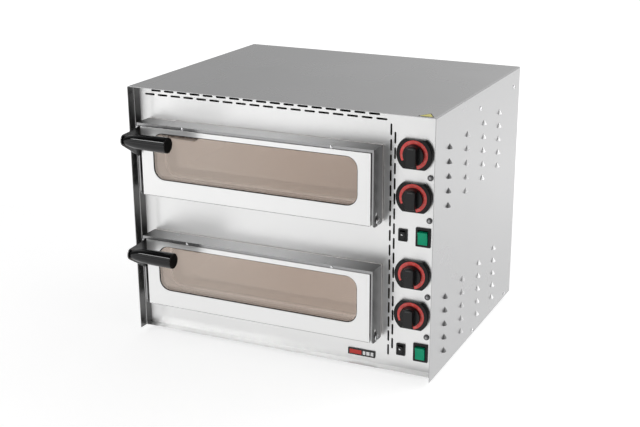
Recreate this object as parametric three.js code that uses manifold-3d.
// Countertop pizza oven with two baking decks, in millimetres.
// X runs to the right, Y to the back and Z up. The pieces are laid out from the casing's front
// bottom left corner, and the group at the end moves them to the bottom centre of the whole oven.

import * as THREE from 'three';
import { mergeVertices } from 'three/addons/utils/BufferGeometryUtils.js';
import { ConvexGeometry } from 'three/addons/geometries/ConvexGeometry.js';
import Module from 'manifold-3d';

const wasm = await Module();
wasm.setup();

// Driving dimensions
const WIDTH = 550;
const DEPTH = 444;
const HEIGHT = 438.5;
const SHEET = 1.2;
const GAP = 0.3;
const OVERCUT = 1; // how far a cutting tool reaches past the faces that it opens
const FOOT_HEIGHT = 8;
const FOOT_RADIUS = 15;
const FOOT_INSET = 60;

// Two equal decks. Every deck height below is that of the lower deck.
const DECK_PITCH = 200;
const DECKS = [
  { name: 'upper', lift: DECK_PITCH },
  { name: 'lower', lift: 0 },
];

// Front panel, a tray set back from the casing's front edge, with its rims folded forward
const PANEL_Y = 33;
const PANEL_RIM = 16.5;
const PANEL_BACK = PANEL_Y + SHEET;
const MOUTH = { left: 52, right: 422, bottom: 66, top: 160 };

// Ventilation slots in the front panel
const SLOT_LENGTH = 19.2;
const SLOT_WIDTH = 3.2;
const SLOT_PITCH = 25;
const SLOT_ROWS = [
  { from: 26, height: 427.4, count: 17 },
  { from: 13.4, height: 420.4, count: 18 },
];
const SLOT_COLUMNS = [
  { x: 464.2, from: 20.6, count: 16 },
  { x: 471.2, from: 33.0, count: 15 },
];

// Pressed ventilation hoods in the right side. Each group of rows starts at its lowest hood's middle.
const HOOD_COLUMNS = { from: 65.5, pitch: 86.4, count: 4 };
const HOOD_ROWS = { pitch: 24, count: 5, groups: [33, 284.5] };
const HOOD_HALF_WIDTH = 5.5;
const HOOD_HEIGHT = 10;
const HOOD_DEPTH = 4.5;

// Controls, by their centres on the front panel
const KNOB_X = 505.5;
const KNOBS = [
  { name: 'top_heat', height: 170.3 },
  { name: 'bottom_heat', height: 100 },
];
const PILOT_LAMP = { x: 531.3, drop: 36, hole: 4.3, flange: 5.2, flangeDepth: 1.6, proud: 3.2, depth: 18 };
const BEZEL = { radius: 30, height: 48, depth: 7, bore: 5 };
const KNOB = { radius: 17.5, skirt: 5, depth: 15.5, grip: 18, spindle: 3, spindleEnd: 10 };
const THERMOSTAT = { half: 20, depth: 30, collar: 9, collarDepth: 2, tabs: [-17, 13], tab: 4, tabDepth: 8 };
const POWER_SWITCH = {
  name: 'power', x: 521.7, height: 35, width: 25.2, tall: 32, rim: 2, body: 21.5, bodyTall: 29,
  rockerWidth: 16.6, rockerTall: 21.4, pivotDepth: 5, tilt: 7, depth: 26,
};
const LIGHT_SWITCH = {
  name: 'light', x: 487, height: 34.6, width: 15.6, tall: 21, rim: 1.8, body: 12.6, bodyTall: 18.6,
  rockerWidth: 8.6, rockerTall: 13.6, pivotDepth: 4, tilt: 7, depth: 20,
};
const SWITCHES = [POWER_SWITCH, LIGHT_SWITCH];
const ROCKER = { proud: 1.6, dished: 0.4, taper: 0.6, keel: 3 };
const SWITCH_WELL_FLOOR = 6; // behind the rocker's pivot
const BADGE = { left: 392, right: 441.4, bottom: 10, top: 22, depth: 1.5 };

// Doors, hinged along their bottom edge
const DOOR = { left: 20.7, right: 452.3, bottom: 52, top: 180, front: -8, back: 31, sheet: 1.5 };
const DOOR_CORNER = { front: 9, back: 5 };
const DOOR_LIP = { top: 4.5, side: 2.8 };
const DOOR_BACK_BOTTOM = 70;
const PIVOT = { y: 8, z: 60 };
const PLATE = { left: 26.5, right: 446.5, bottom: 54.5, top: 173.8, front: -6.5, rim: 9 };
const WINDOW = { left: 49.4, right: 424.4, bottom: 84, top: 165.5, radius: 20 };
const BACK_WINDOW = { left: 53, right: 421, bottom: 84, top: 162, radius: 20 };
const GLASS = { overlap: 8, thickness: 4 };
const GRIP = { y: -48.2, z: 159, radius: 13.4, end: 106.6, edges: [1.2, 1] };
// Grip radius at distances from its narrow end
const GRIP_SWELL = [[0, 6.6], [8, 8.8], [16.5, 10.4], [25, 11.6], [35, 12.4], [47, 12.9]];
const ARM = { radius: 9.8, rise: 1.4, crook: 6, root: 119.7, tangent: 237.7 };
const EAR = { inset: 2.3, thickness: 2, radius: 7 };
const PIN = { radius: 3, headRadius: 6.2, head: 3, rivetRadius: 4.5, rivet: 0.9 };
const PIN_CLEARANCE = 0.3;
const STOP_HOLE = { y: 5.5, z: 71.5, radius: 4.2 };

// Baking chambers and what they hold
const CHAMBER = { left: 49, right: 425, bottom: 64, top: 162, back: 400, flange: 8 };
const WOOL = 20;
const STONE = { margin: 12, front: 44, back: 394, bottom: 79, thickness: 12 };
const LEDGE = { width: 17, thickness: 2.7, from: 60, to: 390 };
const ELEMENT_RADIUS = 3.25;
const ELEMENTS = [
  { name: 'top', height: 152 },
  { name: 'bottom', height: 70.5 },
];
const ELEMENT_LEGS = [90, 170, 250, 330];
const ELEMENT_TURNS = { left: 110, right: 380 };
const ELEMENT_END = 457;
const CHAMBER_LAMP = { y: 210, z: 120, radius: 15, flange: 19, flangeDepth: 2, dome: 12, socket: 30 };

// Rear and inside of the casing
const REAR_Y = DEPTH - 1.5;
const GLAND = {
  x: 505, z: 45, radius: 10, bore: 5, nut: 13.5, nutDepth: 5, collar: 6, cap: 11.5, length: 20,
};
const TERMINALS = {
  x: 519, y: REAR_Y - 60, halfLength: 24, halfWidth: 11, plinth: 8, pitch: 15, poleHalfLength: 5.5,
  poleHalfWidth: 8, tall: 18, screwRadius: 2.5, screwDepth: 6,
};
const DIVIDER = { x: 476.5, front: 36, back: REAR_Y - 5, flange: 12, bottom: 14, top: 428 };
const PAN_RIM = 15;
const REAR_SLOTS = { from: 175, heights: [268, 288], count: 8 };

function metal(color, roughness) {
  return new THREE.MeshStandardMaterial({ color, roughness, metalness: 1 });
}

function plain(color, roughness) {
  return new THREE.MeshStandardMaterial({ color, roughness, metalness: 0 });
}

const MATERIALS = {
  casingSteel: metal('#b9babb', 0.32),
  panelSteel: metal('#e4e4e2', 0.22),
  doorSteel: metal('#c9cacb', 0.2),
  screwSteel: metal('#d0d1d2', 0.15),
  chamberSteel: metal('#a8a6a0', 0.4),
  elementSteel: metal('#5d5a57', 0.5),
  galvanised: metal('#9ea2a4', 0.45),
  blackPlastic: plain('#1a1a1b', 0.3),
  gripPlastic: plain('#101011', 0.12),
  greenLens: plain('#0fa070', 0.2),
  greyLens: plain('#8e8e90', 0.25),
  smokedGlass: new THREE.MeshStandardMaterial({
    color: '#8f8072', roughness: 0.05, transparent: true, opacity: 0.7,
  }),
  lampGlass: plain('#e8e2d0', 0.15),
  palePlastic: plain('#e6e3da', 0.5),
  stone: plain('#cdbfa6', 0.9),
  wool: plain('#d9d2bd', 1),
  rubber: plain('#202020', 0.8),
};

// ---- Solids ----------------------------------------------------------------------------------

function toSolid(geometry) {
  const bare = geometry.clone();
  bare.deleteAttribute('normal');
  bare.deleteAttribute('uv');
  const merged = mergeVertices(bare, 1e-4);
  return new wasm.Manifold(new wasm.Mesh({
    numProp: 3,
    vertProperties: new Float32Array(merged.attributes.position.array),
    triVerts: new Uint32Array(merged.index.array),
  }));
}

function toGeometry(solid) {
  const mesh = solid.getMesh();
  const geometry = new THREE.BufferGeometry();
  geometry.setAttribute('position', new THREE.BufferAttribute(mesh.vertProperties, 3));
  geometry.setIndex(new THREE.BufferAttribute(mesh.triVerts, 1));
  return geometry;
}

function join(solids) {
  return solids.reduce((whole, solid) => whole.add(solid));
}

function cut(solid, tools) {
  return tools.reduce((rest, tool) => rest.subtract(tool), solid);
}

function box(x0, x1, y0, y1, z0, z1) {
  const geometry = new THREE.BoxGeometry(x1 - x0, y1 - y0, z1 - z0);
  geometry.translate((x0 + x1) / 2, (y0 + y1) / 2, (z0 + z1) / 2);
  return toSolid(geometry);
}

const ALONG = {
  x: new THREE.Matrix4().makeRotationZ(-Math.PI / 2),
  y: new THREE.Matrix4(),
  z: new THREE.Matrix4().makeRotationX(Math.PI / 2),
};

// A profile of [radius, distance] pairs turned about the named axis, through the point given.
function turned(axis, profile, [x, y, z], sides = 24) {
  const points = profile.map(([radius, distance]) => new THREE.Vector2(radius, distance));
  const geometry = new THREE.LatheGeometry(points, sides);
  geometry.applyMatrix4(ALONG[axis]);
  geometry.translate(x, y, z);
  return toSolid(geometry);
}

// A plain round bar along the named axis, from one distance to the other.
function rod(axis, radius, from, to, centre, sides = 24) {
  return turned(axis, [[0, from], [radius, from], [radius, to], [0, to]], centre, sides);
}

function polygon(points) {
  return points.map(([a, b]) => new THREE.Vector2(a, b));
}

function arcPoints(a, b, radius, from, to, steps) {
  const points = [];
  for (let step = 0; step <= steps; step += 1) {
    const angle = THREE.MathUtils.degToRad(from + ((to - from) * step) / steps);
    points.push([a + radius * Math.cos(angle), b + radius * Math.sin(angle)]);
  }
  return points;
}

function circlePoints(a, b, radius, sides = 20) {
  return arcPoints(a, b, radius, 0, 360 - 360 / sides, sides - 1);
}

function roundedPoints({ left, right, bottom, top, radius }, steps = 6) {
  return [
    ...arcPoints(right - radius, top - radius, radius, 0, 90, steps),
    ...arcPoints(left + radius, top - radius, radius, 90, 180, steps),
    ...arcPoints(left + radius, bottom + radius, radius, 180, 270, steps),
    ...arcPoints(right - radius, bottom + radius, radius, 270, 360, steps),
  ];
}

function rectanglePoints(left, right, bottom, top) {
  return [[left, bottom], [right, bottom], [right, top], [left, top]];
}

function outline(points, holes = []) {
  const shape = new THREE.Shape(polygon(points));
  shape.holes = holes.map((hole) => new THREE.Path(polygon(hole)));
  return shape;
}

// An outline drawn in X and Z, from y0 back to y1.
function frontSlab(points, y0, y1, holes = []) {
  const geometry = new THREE.ExtrudeGeometry(outline(points, holes), {
    depth: y1 - y0, bevelEnabled: false,
  });
  geometry.rotateX(Math.PI / 2);
  geometry.translate(0, y1, 0);
  return toSolid(geometry);
}

// An outline drawn in Y and Z, from x0 right to x1.
function sideSlab(points, x0, x1, holes = []) {
  const geometry = new THREE.ExtrudeGeometry(outline(points, holes), {
    depth: x1 - x0, bevelEnabled: false,
  });
  const axes = new THREE.Matrix4().makeBasis(
    new THREE.Vector3(0, 1, 0), new THREE.Vector3(0, 0, 1), new THREE.Vector3(1, 0, 0),
  );
  geometry.applyMatrix4(axes);
  geometry.translate(x0, 0, 0);
  return toSolid(geometry);
}

// ---- The oven's group ------------------------------------------------------------------------

const oven = new THREE.Group();

function addPiece(name, solid, material, parent = oven) {
  const mesh = new THREE.Mesh(toGeometry(solid), material);
  mesh.name = name;
  parent.add(mesh);
  return mesh;
}

// ---- Casing and panels -----------------------------------------------------------------------

function hood(y, bottom, shrink) {
  const half = HOOD_HALF_WIDTH - shrink;
  const proud = WIDTH + HOOD_DEPTH - shrink;
  const inside = shrink > 0 ? WIDTH - SHEET - OVERCUT : WIDTH - SHEET / 2;
  const low = shrink > 0 ? bottom - OVERCUT : bottom;
  const top = bottom + HOOD_HEIGHT - 1.5 * shrink;
  const corners = [
    [inside, y - half, low], [inside, y + half, low], [inside, y, top],
    [WIDTH, y - half, low], [WIDTH, y + half, low], [WIDTH, y, top],
    [proud, y - half / 2, low], [proud, y + half / 2, low],
  ];
  return toSolid(new ConvexGeometry(corners.map((corner) => new THREE.Vector3(...corner))));
}

function makeOuterCasing() {
  const sheets = [
    box(0, WIDTH, 0, DEPTH, HEIGHT - SHEET, HEIGHT),
    box(0, SHEET, 0, DEPTH, 0, HEIGHT),
    box(WIDTH - SHEET, WIDTH, 0, DEPTH, 0, HEIGHT),
  ];
  const hoods = [];
  const vents = [];
  for (const lowest of HOOD_ROWS.groups) {
    for (let row = 0; row < HOOD_ROWS.count; row += 1) {
      for (let column = 0; column < HOOD_COLUMNS.count; column += 1) {
        const y = HOOD_COLUMNS.from + column * HOOD_COLUMNS.pitch;
        const z = lowest + row * HOOD_ROWS.pitch - HOOD_HEIGHT / 2;
        hoods.push(hood(y, z, 0));
        vents.push(hood(y, z, SHEET));
      }
    }
  }
  addPiece('outer_casing', cut(join([...sheets, ...hoods]), vents), MATERIALS.casingSteel);
}

function slotPoints(centreX, centreZ, isUpright) {
  const straight = (SLOT_LENGTH - SLOT_WIDTH) / 2;
  const ends = [
    ...arcPoints(straight, 0, SLOT_WIDTH / 2, -90, 90, 3),
    ...arcPoints(-straight, 0, SLOT_WIDTH / 2, 90, 270, 3),
  ];
  return ends.map(([along, across]) => (isUpright
    ? [centreX - across, centreZ + along]
    : [centreX + along, centreZ + across]));
}

function panelSlots() {
  const slots = [];
  for (const row of SLOT_ROWS) {
    for (let index = 0; index < row.count; index += 1) {
      const x = row.from + index * SLOT_PITCH + SLOT_LENGTH / 2;
      slots.push(slotPoints(x, row.height, false));
    }
  }
  for (const column of SLOT_COLUMNS) {
    for (let index = 0; index < column.count; index += 1) {
      const z = column.from + index * SLOT_PITCH + SLOT_LENGTH / 2;
      slots.push(slotPoints(column.x, z, true));
    }
  }
  return slots;
}

function switchHole({ x, height, body, bodyTall }, lift) {
  const halfWidth = body / 2 + GAP;
  const halfHeight = bodyTall / 2 + GAP;
  const centre = height + lift;
  return rectanglePoints(x - halfWidth, x + halfWidth, centre - halfHeight, centre + halfHeight);
}

function panelCutOuts() {
  const holes = panelSlots();
  for (const { lift } of DECKS) {
    holes.push(rectanglePoints(MOUTH.left, MOUTH.right, MOUTH.bottom + lift, MOUTH.top + lift));
    for (const { height } of KNOBS) {
      holes.push(circlePoints(KNOB_X, height + lift, BEZEL.bore));
      const lampHeight = height - PILOT_LAMP.drop + lift;
      holes.push(circlePoints(PILOT_LAMP.x, lampHeight, PILOT_LAMP.hole, 16));
    }
    for (const control of SWITCHES) {
      holes.push(switchHole(control, lift));
    }
  }
  return holes;
}

// The ears stand just inside the door's side flanges.
function earSpans() {
  const left = DOOR.left + EAR.inset;
  const right = DOOR.right - EAR.inset;
  return [[left, left + EAR.thickness], [right - EAR.thickness, right]];
}

function hingeEar([from, to], lift) {
  const z = PIVOT.z + lift;
  const points = [
    [PANEL_Y + SHEET / 2, z - EAR.radius],
    [PANEL_Y + SHEET / 2, z + EAR.radius],
    ...arcPoints(PIVOT.y, z, EAR.radius, 90, 270, 8),
  ];
  return sideSlab(points, from, to, [circlePoints(PIVOT.y, z, PIN.radius + PIN_CLEARANCE, 16)]);
}

function makeFrontPanel() {
  const left = SHEET + GAP;
  const right = WIDTH - SHEET - GAP;
  const top = HEIGHT - SHEET - GAP;
  const plate = frontSlab(rectanglePoints(left, right, 0, top), PANEL_Y, PANEL_BACK, panelCutOuts());
  const rims = [
    box(left, left + SHEET, PANEL_RIM, PANEL_BACK, 0, top),
    box(right - SHEET, right, PANEL_RIM, PANEL_BACK, 0, top),
    box(left, right, PANEL_RIM, PANEL_BACK, 0, SHEET),
    box(left, right, PANEL_RIM, PANEL_BACK, top - SHEET, top),
  ];
  const ears = DECKS.flatMap(({ lift }) => earSpans().map((span) => hingeEar(span, lift)));
  addPiece('front_panel', join([plate, ...rims, ...ears]), MATERIALS.panelSteel);
}

function makeRearPanel() {
  const left = SHEET + GAP;
  const right = WIDTH - SHEET - GAP;
  const top = HEIGHT - SHEET - GAP;
  const bottom = SHEET + GAP;
  const holes = [circlePoints(GLAND.x, GLAND.z, GLAND.radius + GAP)];
  for (const height of REAR_SLOTS.heights) {
    for (let index = 0; index < REAR_SLOTS.count; index += 1) {
      const x = REAR_SLOTS.from + index * SLOT_PITCH + SLOT_LENGTH / 2;
      holes.push(slotPoints(x, height, false));
    }
  }
  const plate = rectanglePoints(left, right, bottom, top);
  addPiece('rear_panel', frontSlab(plate, REAR_Y - SHEET, REAR_Y, holes), MATERIALS.galvanised);
}

function makeBasePan() {
  const left = SHEET + GAP;
  const right = WIDTH - SHEET - GAP;
  const front = PANEL_BACK + GAP;
  const back = REAR_Y - SHEET - GAP;
  const pan = join([
    box(left, right, front, back, 0, SHEET),
    box(left, left + SHEET, front, back, 0, PAN_RIM),
    box(right - SHEET, right, front, back, 0, PAN_RIM),
    box(left, right, back - SHEET, back, 0, PAN_RIM),
  ]);
  addPiece('base_pan', pan, MATERIALS.galvanised);
}

function makeFeet() {
  const sides = [['left', FOOT_INSET], ['right', WIDTH - FOOT_INSET]];
  const ends = [['front', FOOT_INSET], ['rear', DEPTH - FOOT_INSET]];
  for (const [side, x] of sides) {
    for (const [end, y] of ends) {
      const profile = [
        [0, -FOOT_HEIGHT], [FOOT_RADIUS - 2, -FOOT_HEIGHT], [FOOT_RADIUS, 1 - FOOT_HEIGHT],
        [FOOT_RADIUS - 1, -GAP], [0, -GAP],
      ];
      const foot = turned('z', profile, [x, y, 0], 16);
      addPiece(`foot_${end}_${side}`, foot, MATERIALS.rubber);
    }
  }
}

function makeDivider() {
  const { x, front, back, flange, bottom, top } = DIVIDER;
  const divider = join([
    box(x, x + SHEET, front, back, bottom, top),
    box(x, x + flange, front, back, bottom, bottom + SHEET),
    box(x, x + flange, front, back, top - SHEET, top),
  ]);
  addPiece('compartment_divider', divider, MATERIALS.galvanised);
}

function makeCableGland() {
  const { bore, nut, nutDepth, collar, cap, radius, length } = GLAND;
  const outside = REAR_Y + GAP;
  const inside = REAR_Y - SHEET - GAP;
  const end = REAR_Y + length;
  const profile = [
    [bore, inside - nutDepth], [nut, inside - nutDepth], [nut, inside], [radius, inside],
    [radius, outside], [nut, outside], [nut, outside + collar],
    [cap, outside + collar + 1], [cap, end - 5], [cap - 3, end], [bore, end],
    [bore, inside - nutDepth],
  ];
  addPiece('cable_gland', turned('y', profile, [GLAND.x, 0, GLAND.z], 14), MATERIALS.blackPlastic);
}

function makeTerminalBlock() {
  const { x, y, halfLength, halfWidth, plinth, pitch, poleHalfLength, poleHalfWidth, tall } = TERMINALS;
  const { screwRadius, screwDepth } = TERMINALS;
  const bottom = SHEET + GAP;
  const top = bottom + tall;
  const poles = [x - pitch, x, x + pitch];
  const body = join([
    box(x - halfLength, x + halfLength, y - halfWidth, y + halfWidth, bottom, bottom + plinth),
    ...poles.map((pole) => box(
      pole - poleHalfLength, pole + poleHalfLength, y - poleHalfWidth, y + poleHalfWidth, bottom, top,
    )),
  ]);
  const wells = poles.map(
    (pole) => rod('z', screwRadius, top - screwDepth, top + OVERCUT, [pole, y, 0], 12),
  );
  addPiece('terminal_block', cut(body, wells), MATERIALS.palePlastic);
}

function makeBadge() {
  const { left, right, bottom, top, depth } = BADGE;
  const y = PANEL_Y - GAP;
  const plate = frontSlab(roundedPoints({ left, right, bottom, top, radius: 1 }, 2), y - depth, y);
  addPiece('badge', plate, MATERIALS.blackPlastic);
}

// ---- Controls --------------------------------------------------------------------------------

function bezelPoints(centreX, centreZ) {
  const flat = THREE.MathUtils.radToDeg(Math.asin(BEZEL.height / 2 / BEZEL.radius));
  return [
    ...arcPoints(centreX, centreZ, BEZEL.radius, -flat, flat, 10),
    ...arcPoints(centreX, centreZ, BEZEL.radius, 180 - flat, 180 + flat, 10),
  ];
}

function makeKnobBezel(name, centre) {
  const back = PANEL_Y - GAP;
  const bore = circlePoints(KNOB_X, centre, BEZEL.bore);
  const bezel = frontSlab(bezelPoints(KNOB_X, centre), back - BEZEL.depth, back, [bore]);
  addPiece(`${name}_bezel`, bezel, MATERIALS.blackPlastic);
}

function makeKnob(name, centre) {
  const back = PANEL_Y - BEZEL.depth - 2 * GAP;
  const front = back - KNOB.depth;
  const { radius, skirt, grip, spindle, spindleEnd } = KNOB;
  const origin = [KNOB_X, 0, centre];
  const profile = [
    [0, PANEL_BACK + spindleEnd], [spindle, PANEL_BACK + spindleEnd], [spindle, back], [radius, back],
    [radius, back - skirt], [radius - 1, back - skirt - 1], [0, back - skirt - 1],
  ];
  const skirtAndSpindle = turned('y', profile.reverse(), origin, 24);
  const gripBlock = box(KNOB_X - grip / 2, KNOB_X + grip / 2, front, back, centre - radius, centre + radius);
  const gripRound = rod('y', radius - 0.8, front, back, origin, 24);
  const knob = skirtAndSpindle.add(gripBlock.intersect(gripRound));
  addPiece(`${name}_knob`, knob, MATERIALS.blackPlastic);
}

function makeThermostat(name, centre) {
  const { half, depth, collar, collarDepth, tabs, tab, tabDepth } = THERMOSTAT;
  const front = PANEL_BACK + GAP;
  const back = front + depth;
  const body = join([
    box(KNOB_X - half, KNOB_X + half, front + collarDepth, back, centre - half, centre + half),
    rod('y', collar, front, front + collarDepth + OVERCUT, [KNOB_X, 0, centre], 20),
    ...tabs.map((offset) => box(
      KNOB_X + offset, KNOB_X + offset + tab, back - OVERCUT, back + tabDepth, centre - 3, centre + 3,
    )),
  ]);
  const spindleHole = rod('y', KNOB.spindle + GAP, front - OVERCUT,
    PANEL_BACK + KNOB.spindleEnd + 2, [KNOB_X, 0, centre], 20);
  addPiece(`${name}_thermostat`, cut(body, [spindleHole]), MATERIALS.galvanised);
}

function makePilotLamp(name, centre) {
  const { x, hole, flange, flangeDepth, proud, depth } = PILOT_LAMP;
  const face = PANEL_Y - GAP;
  const profile = [
    [0, face - proud], [2.4, face - proud + 0.4], [3.6, face - flangeDepth - 0.2],
    [flange - 0.2, face - flangeDepth], [flange, face], [hole - GAP, face],
    [hole - GAP, face + depth], [0, face + depth],
  ];
  addPiece(`${name}_pilot_lamp`, turned('y', profile, [x, 0, centre], 16), MATERIALS.greyLens);
}

function makeSwitch(control, deck) {
  const { x, width, tall, rim, body, bodyTall, rockerWidth, rockerTall, pivotDepth, tilt } = control;
  const centre = control.height + deck.lift;
  const back = PANEL_Y - GAP;
  const face = back - rim;
  const pivotY = face + pivotDepth;
  const swing = THREE.MathUtils.degToRad(tilt);
  const clearance = pivotDepth * Math.sin(swing) + 2 * GAP;
  const rimPoints = roundedPoints({
    left: x - width / 2, right: x + width / 2, bottom: centre - tall / 2, top: centre + tall / 2,
    radius: 1.2,
  }, 2);
  const well = box(
    x - rockerWidth / 2 - GAP, x + rockerWidth / 2 + GAP, face - OVERCUT, pivotY + SWITCH_WELL_FLOOR,
    centre - rockerTall / 2 - clearance, centre + rockerTall / 2 + clearance,
  );
  const housing = join([
    frontSlab(rimPoints, face, back),
    box(x - body / 2, x + body / 2, back - OVERCUT, back + control.depth, centre - bodyTall / 2,
      centre + bodyTall / 2),
  ]);
  const prefix = `${deck.name}_${control.name}`;
  addPiece(`${prefix}_switch_housing`, cut(housing, [well]), MATERIALS.blackPlastic);

  const half = rockerTall / 2;
  const { proud, dished, taper, keel } = ROCKER;
  const profile = [
    [-pivotDepth - proud, -half], [-pivotDepth + dished, 0], [-pivotDepth - proud, half],
    [0, half - taper], [keel, 0], [0, taper - half],
  ].reverse();
  const seat = new THREE.Group();
  seat.position.set(x, pivotY, centre);
  seat.rotation.x = swing;
  oven.add(seat);
  const rocker = sideSlab(profile, -rockerWidth / 2, rockerWidth / 2);
  const material = control === POWER_SWITCH ? MATERIALS.greenLens : MATERIALS.blackPlastic;
  addPiece(`${prefix}_rocker`, rocker, material, seat);
}

function makeControls(deck) {
  for (const { name, height } of KNOBS) {
    const centre = height + deck.lift;
    const prefix = `${deck.name}_${name}`;
    makeKnobBezel(prefix, centre);
    makeKnob(prefix, centre);
    makeThermostat(prefix, centre);
    makePilotLamp(prefix, centre - PILOT_LAMP.drop);
  }
  for (const control of SWITCHES) {
    makeSwitch(control, deck);
  }
}

// ---- Doors -----------------------------------------------------------------------------------

function flangePoints(lift) {
  const { front, back, bottom, top } = DOOR;
  const { front: nose, back: heel } = DOOR_CORNER;
  return [
    [back, top + lift],
    [front, top + lift],
    ...arcPoints(front + nose, bottom + nose + lift, nose, 180, 270, 4),
    ...arcPoints(back - heel, bottom + heel + lift, heel, 270, 360, 3),
  ];
}

// The left flange runs forward as a tapering arm that carries the grip.
function armPoints(lift) {
  const { front } = DOOR;
  const root = front + 4;
  const crook = GRIP.z + ARM.radius + ARM.rise + ARM.crook + lift;
  return [
    [root, crook],
    ...arcPoints(front - ARM.crook, crook, ARM.crook, 0, -90, 4),
    ...arcPoints(GRIP.y, GRIP.z + lift, ARM.radius, 90, ARM.tangent, 8),
    [root, ARM.root + lift],
  ];
}

function flangeHoles(lift) {
  return [
    circlePoints(PIVOT.y, PIVOT.z + lift, PIN.radius + PIN_CLEARANCE, 16),
    circlePoints(STOP_HOLE.y, STOP_HOLE.z + lift, STOP_HOLE.radius, 14),
  ];
}

function makeDoorFrame({ name, lift }) {
  const { left, right, bottom, top, front, back, sheet } = DOOR;
  const window = roundedPoints({
    ...BACK_WINDOW, bottom: BACK_WINDOW.bottom + lift, top: BACK_WINDOW.top + lift,
  });
  const backPlate = rectanglePoints(left, right, DOOR_BACK_BOTTOM + lift, top + lift);
  const lipBottom = bottom + DOOR_CORNER.front + lift;
  const frame = join([
    frontSlab(backPlate, back - sheet, back, [window]),
    box(left, right, front, back, top - sheet + lift, top + lift),
    sideSlab(flangePoints(lift), left, left + sheet, flangeHoles(lift)),
    sideSlab(flangePoints(lift), right - sheet, right, flangeHoles(lift)),
    sideSlab(armPoints(lift), left, left + sheet),
    box(left, right, front, front + sheet, top - DOOR_LIP.top + lift, top + lift),
    box(left, left + DOOR_LIP.side, front, front + sheet, lipBottom, top + lift),
    box(right - DOOR_LIP.side, right, front, front + sheet, lipBottom, top + lift),
  ]);
  addPiece(`${name}_door_frame`, frame, MATERIALS.doorSteel);
}

function makeDoorFrontPlate({ name, lift }) {
  const { left, right, front, rim } = PLATE;
  const bottom = PLATE.bottom + lift;
  const top = PLATE.top + lift;
  const window = roundedPoints({ ...WINDOW, bottom: WINDOW.bottom + lift, top: WINDOW.top + lift });
  const plate = join([
    frontSlab(rectanglePoints(left, right, bottom, top), front, front + SHEET, [window]),
    box(left, left + SHEET, front, front + rim, bottom, top),
    box(right - SHEET, right, front, front + rim, bottom, top),
    box(left, right, front, front + rim, bottom, bottom + SHEET),
    box(left, right, front, front + rim, top - SHEET, top),
  ]);
  addPiece(`${name}_door_front_plate`, plate, MATERIALS.panelSteel);
}

function makeDoorGlass({ name, lift }) {
  const { overlap, thickness } = GLASS;
  const front = PLATE.front + SHEET + GAP;
  const glass = box(
    WINDOW.left - overlap, WINDOW.right + overlap, front, front + thickness,
    WINDOW.bottom - overlap + lift, Math.min(WINDOW.top + overlap, PLATE.top - SHEET - GAP) + lift,
  );
  addPiece(`${name}_door_glass`, glass, MATERIALS.smokedGlass);
}

function makeGrip({ name, lift }) {
  const start = DOOR.left + DOOR.sheet + GAP;
  const { radius, end, edges: [near, far] } = GRIP;
  const [, ...swell] = GRIP_SWELL.map(([along, size]) => [size, start + along]);
  const tip = GRIP_SWELL[0][1];
  const profile = [
    [0, start], [tip - near, start], [tip, start + near], ...swell,
    [radius, end - far], [radius - far, end], [0, end],
  ];
  const grip = turned('x', profile, [0, GRIP.y, GRIP.z + lift], 24);
  addPiece(`${name}_handle_grip`, grip, MATERIALS.gripPlastic);
}

// Pivot screws: the head lies outside the door's flange, and the riveted end inside the ear.
function makeHingePins({ name, lift }) {
  const { radius, headRadius, head, rivetRadius, rivet } = PIN;
  const earEnd = EAR.inset + EAR.thickness + GAP;
  const profile = [
    [0, -head - GAP], [headRadius * 0.6, -head - GAP], [headRadius, -head * 0.45 - GAP],
    [headRadius, -GAP], [radius, -GAP], [radius, earEnd], [rivetRadius, earEnd],
    [rivetRadius, earEnd + rivet], [0, earEnd + rivet],
  ];
  const centreZ = PIVOT.z + lift;
  const left = turned('x', profile, [DOOR.left, PIVOT.y, centreZ], 12);
  const mirrored = profile.map(([r, distance]) => [r, -distance]).reverse();
  const right = turned('x', mirrored, [DOOR.right, PIVOT.y, centreZ], 12);
  addPiece(`${name}_hinge_pin_left`, left, MATERIALS.screwSteel);
  addPiece(`${name}_hinge_pin_right`, right, MATERIALS.screwSteel);
}

// ---- Baking chambers -------------------------------------------------------------------------

function elementHoles(lift, from, to, radius) {
  const ends = [ELEMENT_LEGS[0], ELEMENT_LEGS[ELEMENT_LEGS.length - 1]];
  return ELEMENTS.flatMap(({ height }) => ends.map(
    (y) => rod('x', radius, from, to, [0, y, height + lift], 10),
  ));
}

function makeChamber({ name, lift }) {
  const { left, right, back, flange } = CHAMBER;
  const bottom = CHAMBER.bottom + lift;
  const top = CHAMBER.top + lift;
  const front = PANEL_BACK + GAP;
  const ledgeTop = STONE.bottom - GAP + lift;
  const ledgeBottom = ledgeTop - LEDGE.thickness;
  const shell = join([
    box(left - SHEET, right + SHEET, front, back + SHEET, bottom - SHEET, top + SHEET),
    box(left - flange, right + flange, front, front + SHEET, bottom - flange, top + flange),
  ]);
  const hollow = box(left, right, front - OVERCUT, back, bottom, top);
  const ledges = [
    box(left - SHEET / 2, left + LEDGE.width, LEDGE.from, LEDGE.to, ledgeBottom, ledgeTop),
    box(right - LEDGE.width, right + SHEET / 2, LEDGE.from, LEDGE.to, ledgeBottom, ledgeTop),
  ];
  const inside = right - OVERCUT;
  const outside = right + SHEET + OVERCUT;
  const lampHole = rod('x', CHAMBER_LAMP.radius + GAP, inside, outside,
    [0, CHAMBER_LAMP.y, CHAMBER_LAMP.z + lift], 20);
  const holes = [...elementHoles(lift, inside, outside, ELEMENT_RADIUS + GAP), lampHole];
  const chamber = cut(join([cut(shell, [hollow]), ...ledges]), holes);
  addPiece(`${name}_chamber`, chamber, MATERIALS.chamberSteel);
}

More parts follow.
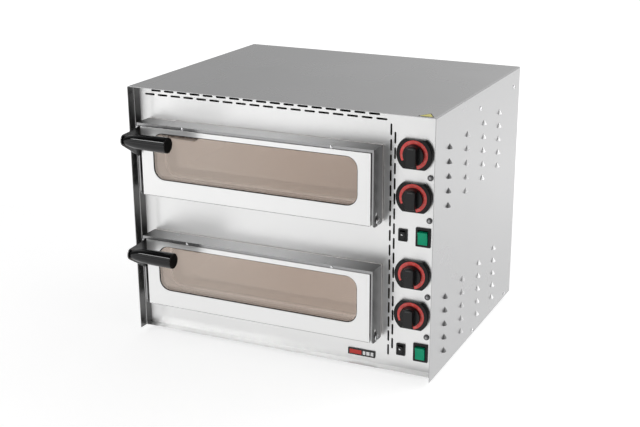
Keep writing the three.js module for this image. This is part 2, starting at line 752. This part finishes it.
function makeInsulation({ name, lift }) {
  const front = PANEL_BACK + SHEET + 2 * GAP;
  const bottom = CHAMBER.bottom - SHEET - GAP + lift;
  const top = CHAMBER.top + SHEET + GAP + lift;
  const left = CHAMBER.left - SHEET - GAP;
  const right = CHAMBER.right + SHEET + GAP;
  const back = CHAMBER.back + SHEET + GAP;
  const block = box(left - WOOL, right + WOOL, front, back + WOOL, bottom - WOOL, top + WOOL);
  const inside = right - OVERCUT;
  const outside = right + WOOL + OVERCUT;
  const lampHole = rod('x', CHAMBER_LAMP.radius + 1, inside, outside,
    [0, CHAMBER_LAMP.y, CHAMBER_LAMP.z + lift], 20);
  const holes = elementHoles(lift, inside, outside, ELEMENT_RADIUS + 1);
  const room = box(left, right, front - OVERCUT, back, bottom, top);
  const wool = cut(block, [room, lampHole, ...holes]);
  addPiece(`${name}_insulation`, wool, MATERIALS.wool);
}

function makeStone({ name, lift }) {
  const { margin, front, back, bottom, thickness } = STONE;
  const stone = box(CHAMBER.left + margin, CHAMBER.right - margin, front, back, bottom + lift,
    bottom + thickness + lift);
  addPiece(`${name}_baking_stone`, stone, MATERIALS.stone);
}

// A route through listed points, with one section of the tube at each of them.
class Route extends THREE.Curve {
  constructor(points) {
    super();
    this.points = points;
  }

  getPoint(t) {
    return this.points[Math.round(t * (this.points.length - 1))].clone();
  }

  getPointAt(t) {
    return this.getPoint(t);
  }

  getTangentAt(t) {
    const last = this.points.length - 1;
    const index = Math.round(t * last);
    const before = this.points[Math.max(index - 1, 0)];
    const after = this.points[Math.min(index + 1, last)];
    return after.clone().sub(before).normalize();
  }
}

// The tube runs to and fro across the chamber, and both of its ends leave on the right.
function elementRoute(height) {
  const [first, second, third, fourth] = ELEMENT_LEGS;
  const { left, right } = ELEMENT_TURNS;
  const radius = (second - first) / 2;
  const plan = [
    [ELEMENT_END, first],
    ...arcPoints(left, (first + second) / 2, radius, 270, 90, 6),
    ...arcPoints(right, (second + third) / 2, radius, -90, 90, 6),
    ...arcPoints(left, (third + fourth) / 2, radius, 270, 90, 6),
    [ELEMENT_END, fourth],
  ];
  return new Route(plan.map(([x, y]) => new THREE.Vector3(x, y, height)));
}

function makeHeatingElements({ name, lift }) {
  for (const element of ELEMENTS) {
    const route = elementRoute(element.height + lift);
    const tube = new THREE.ExtrudeGeometry(outline(circlePoints(0, 0, ELEMENT_RADIUS, 8)), {
      extrudePath: route, steps: route.points.length - 1, bevelEnabled: false,
    });
    addPiece(`${name}_${element.name}_heating_element`, toSolid(tube), MATERIALS.elementSteel);
  }
}

function makeChamberLamp({ name, lift }) {
  const { radius, flange, flangeDepth, dome, socket } = CHAMBER_LAMP;
  const wall = CHAMBER.right - GAP;
  const profile = [
    [0, wall - dome], [radius * 0.55, wall - dome + 1.5], [radius - 1, wall - dome / 2],
    [radius - 1, wall - flangeDepth], [flange, wall - flangeDepth], [flange, wall], [radius, wall],
    [radius, wall + socket - 6], [radius - 5, wall + socket], [0, wall + socket],
  ];
  const lamp = turned('x', profile, [0, CHAMBER_LAMP.y, CHAMBER_LAMP.z + lift], 16);
  addPiece(`${name}_chamber_lamp`, lamp, MATERIALS.lampGlass);
}

// ---- Assembly --------------------------------------------------------------------------------

makeOuterCasing();
makeFrontPanel();
makeRearPanel();
makeBasePan();
makeFeet();
makeDivider();
makeCableGland();
makeTerminalBlock();
makeBadge();
for (const deck of DECKS) {
  makeDoorFrame(deck);
  makeDoorFrontPlate(deck);
  makeDoorGlass(deck);
  makeGrip(deck);
  makeHingePins(deck);
  makeChamber(deck);
  makeInsulation(deck);
  makeStone(deck);
  makeHeatingElements(deck);
  makeChamberLamp(deck);
  makeControls(deck);
}

const foremost = GRIP.y - GRIP.radius;
const rearmost = REAR_Y + GLAND.length;
oven.position.set(-(WIDTH + HOOD_DEPTH) / 2, -(foremost + rearmost) / 2, FOOT_HEIGHT);

export default oven;
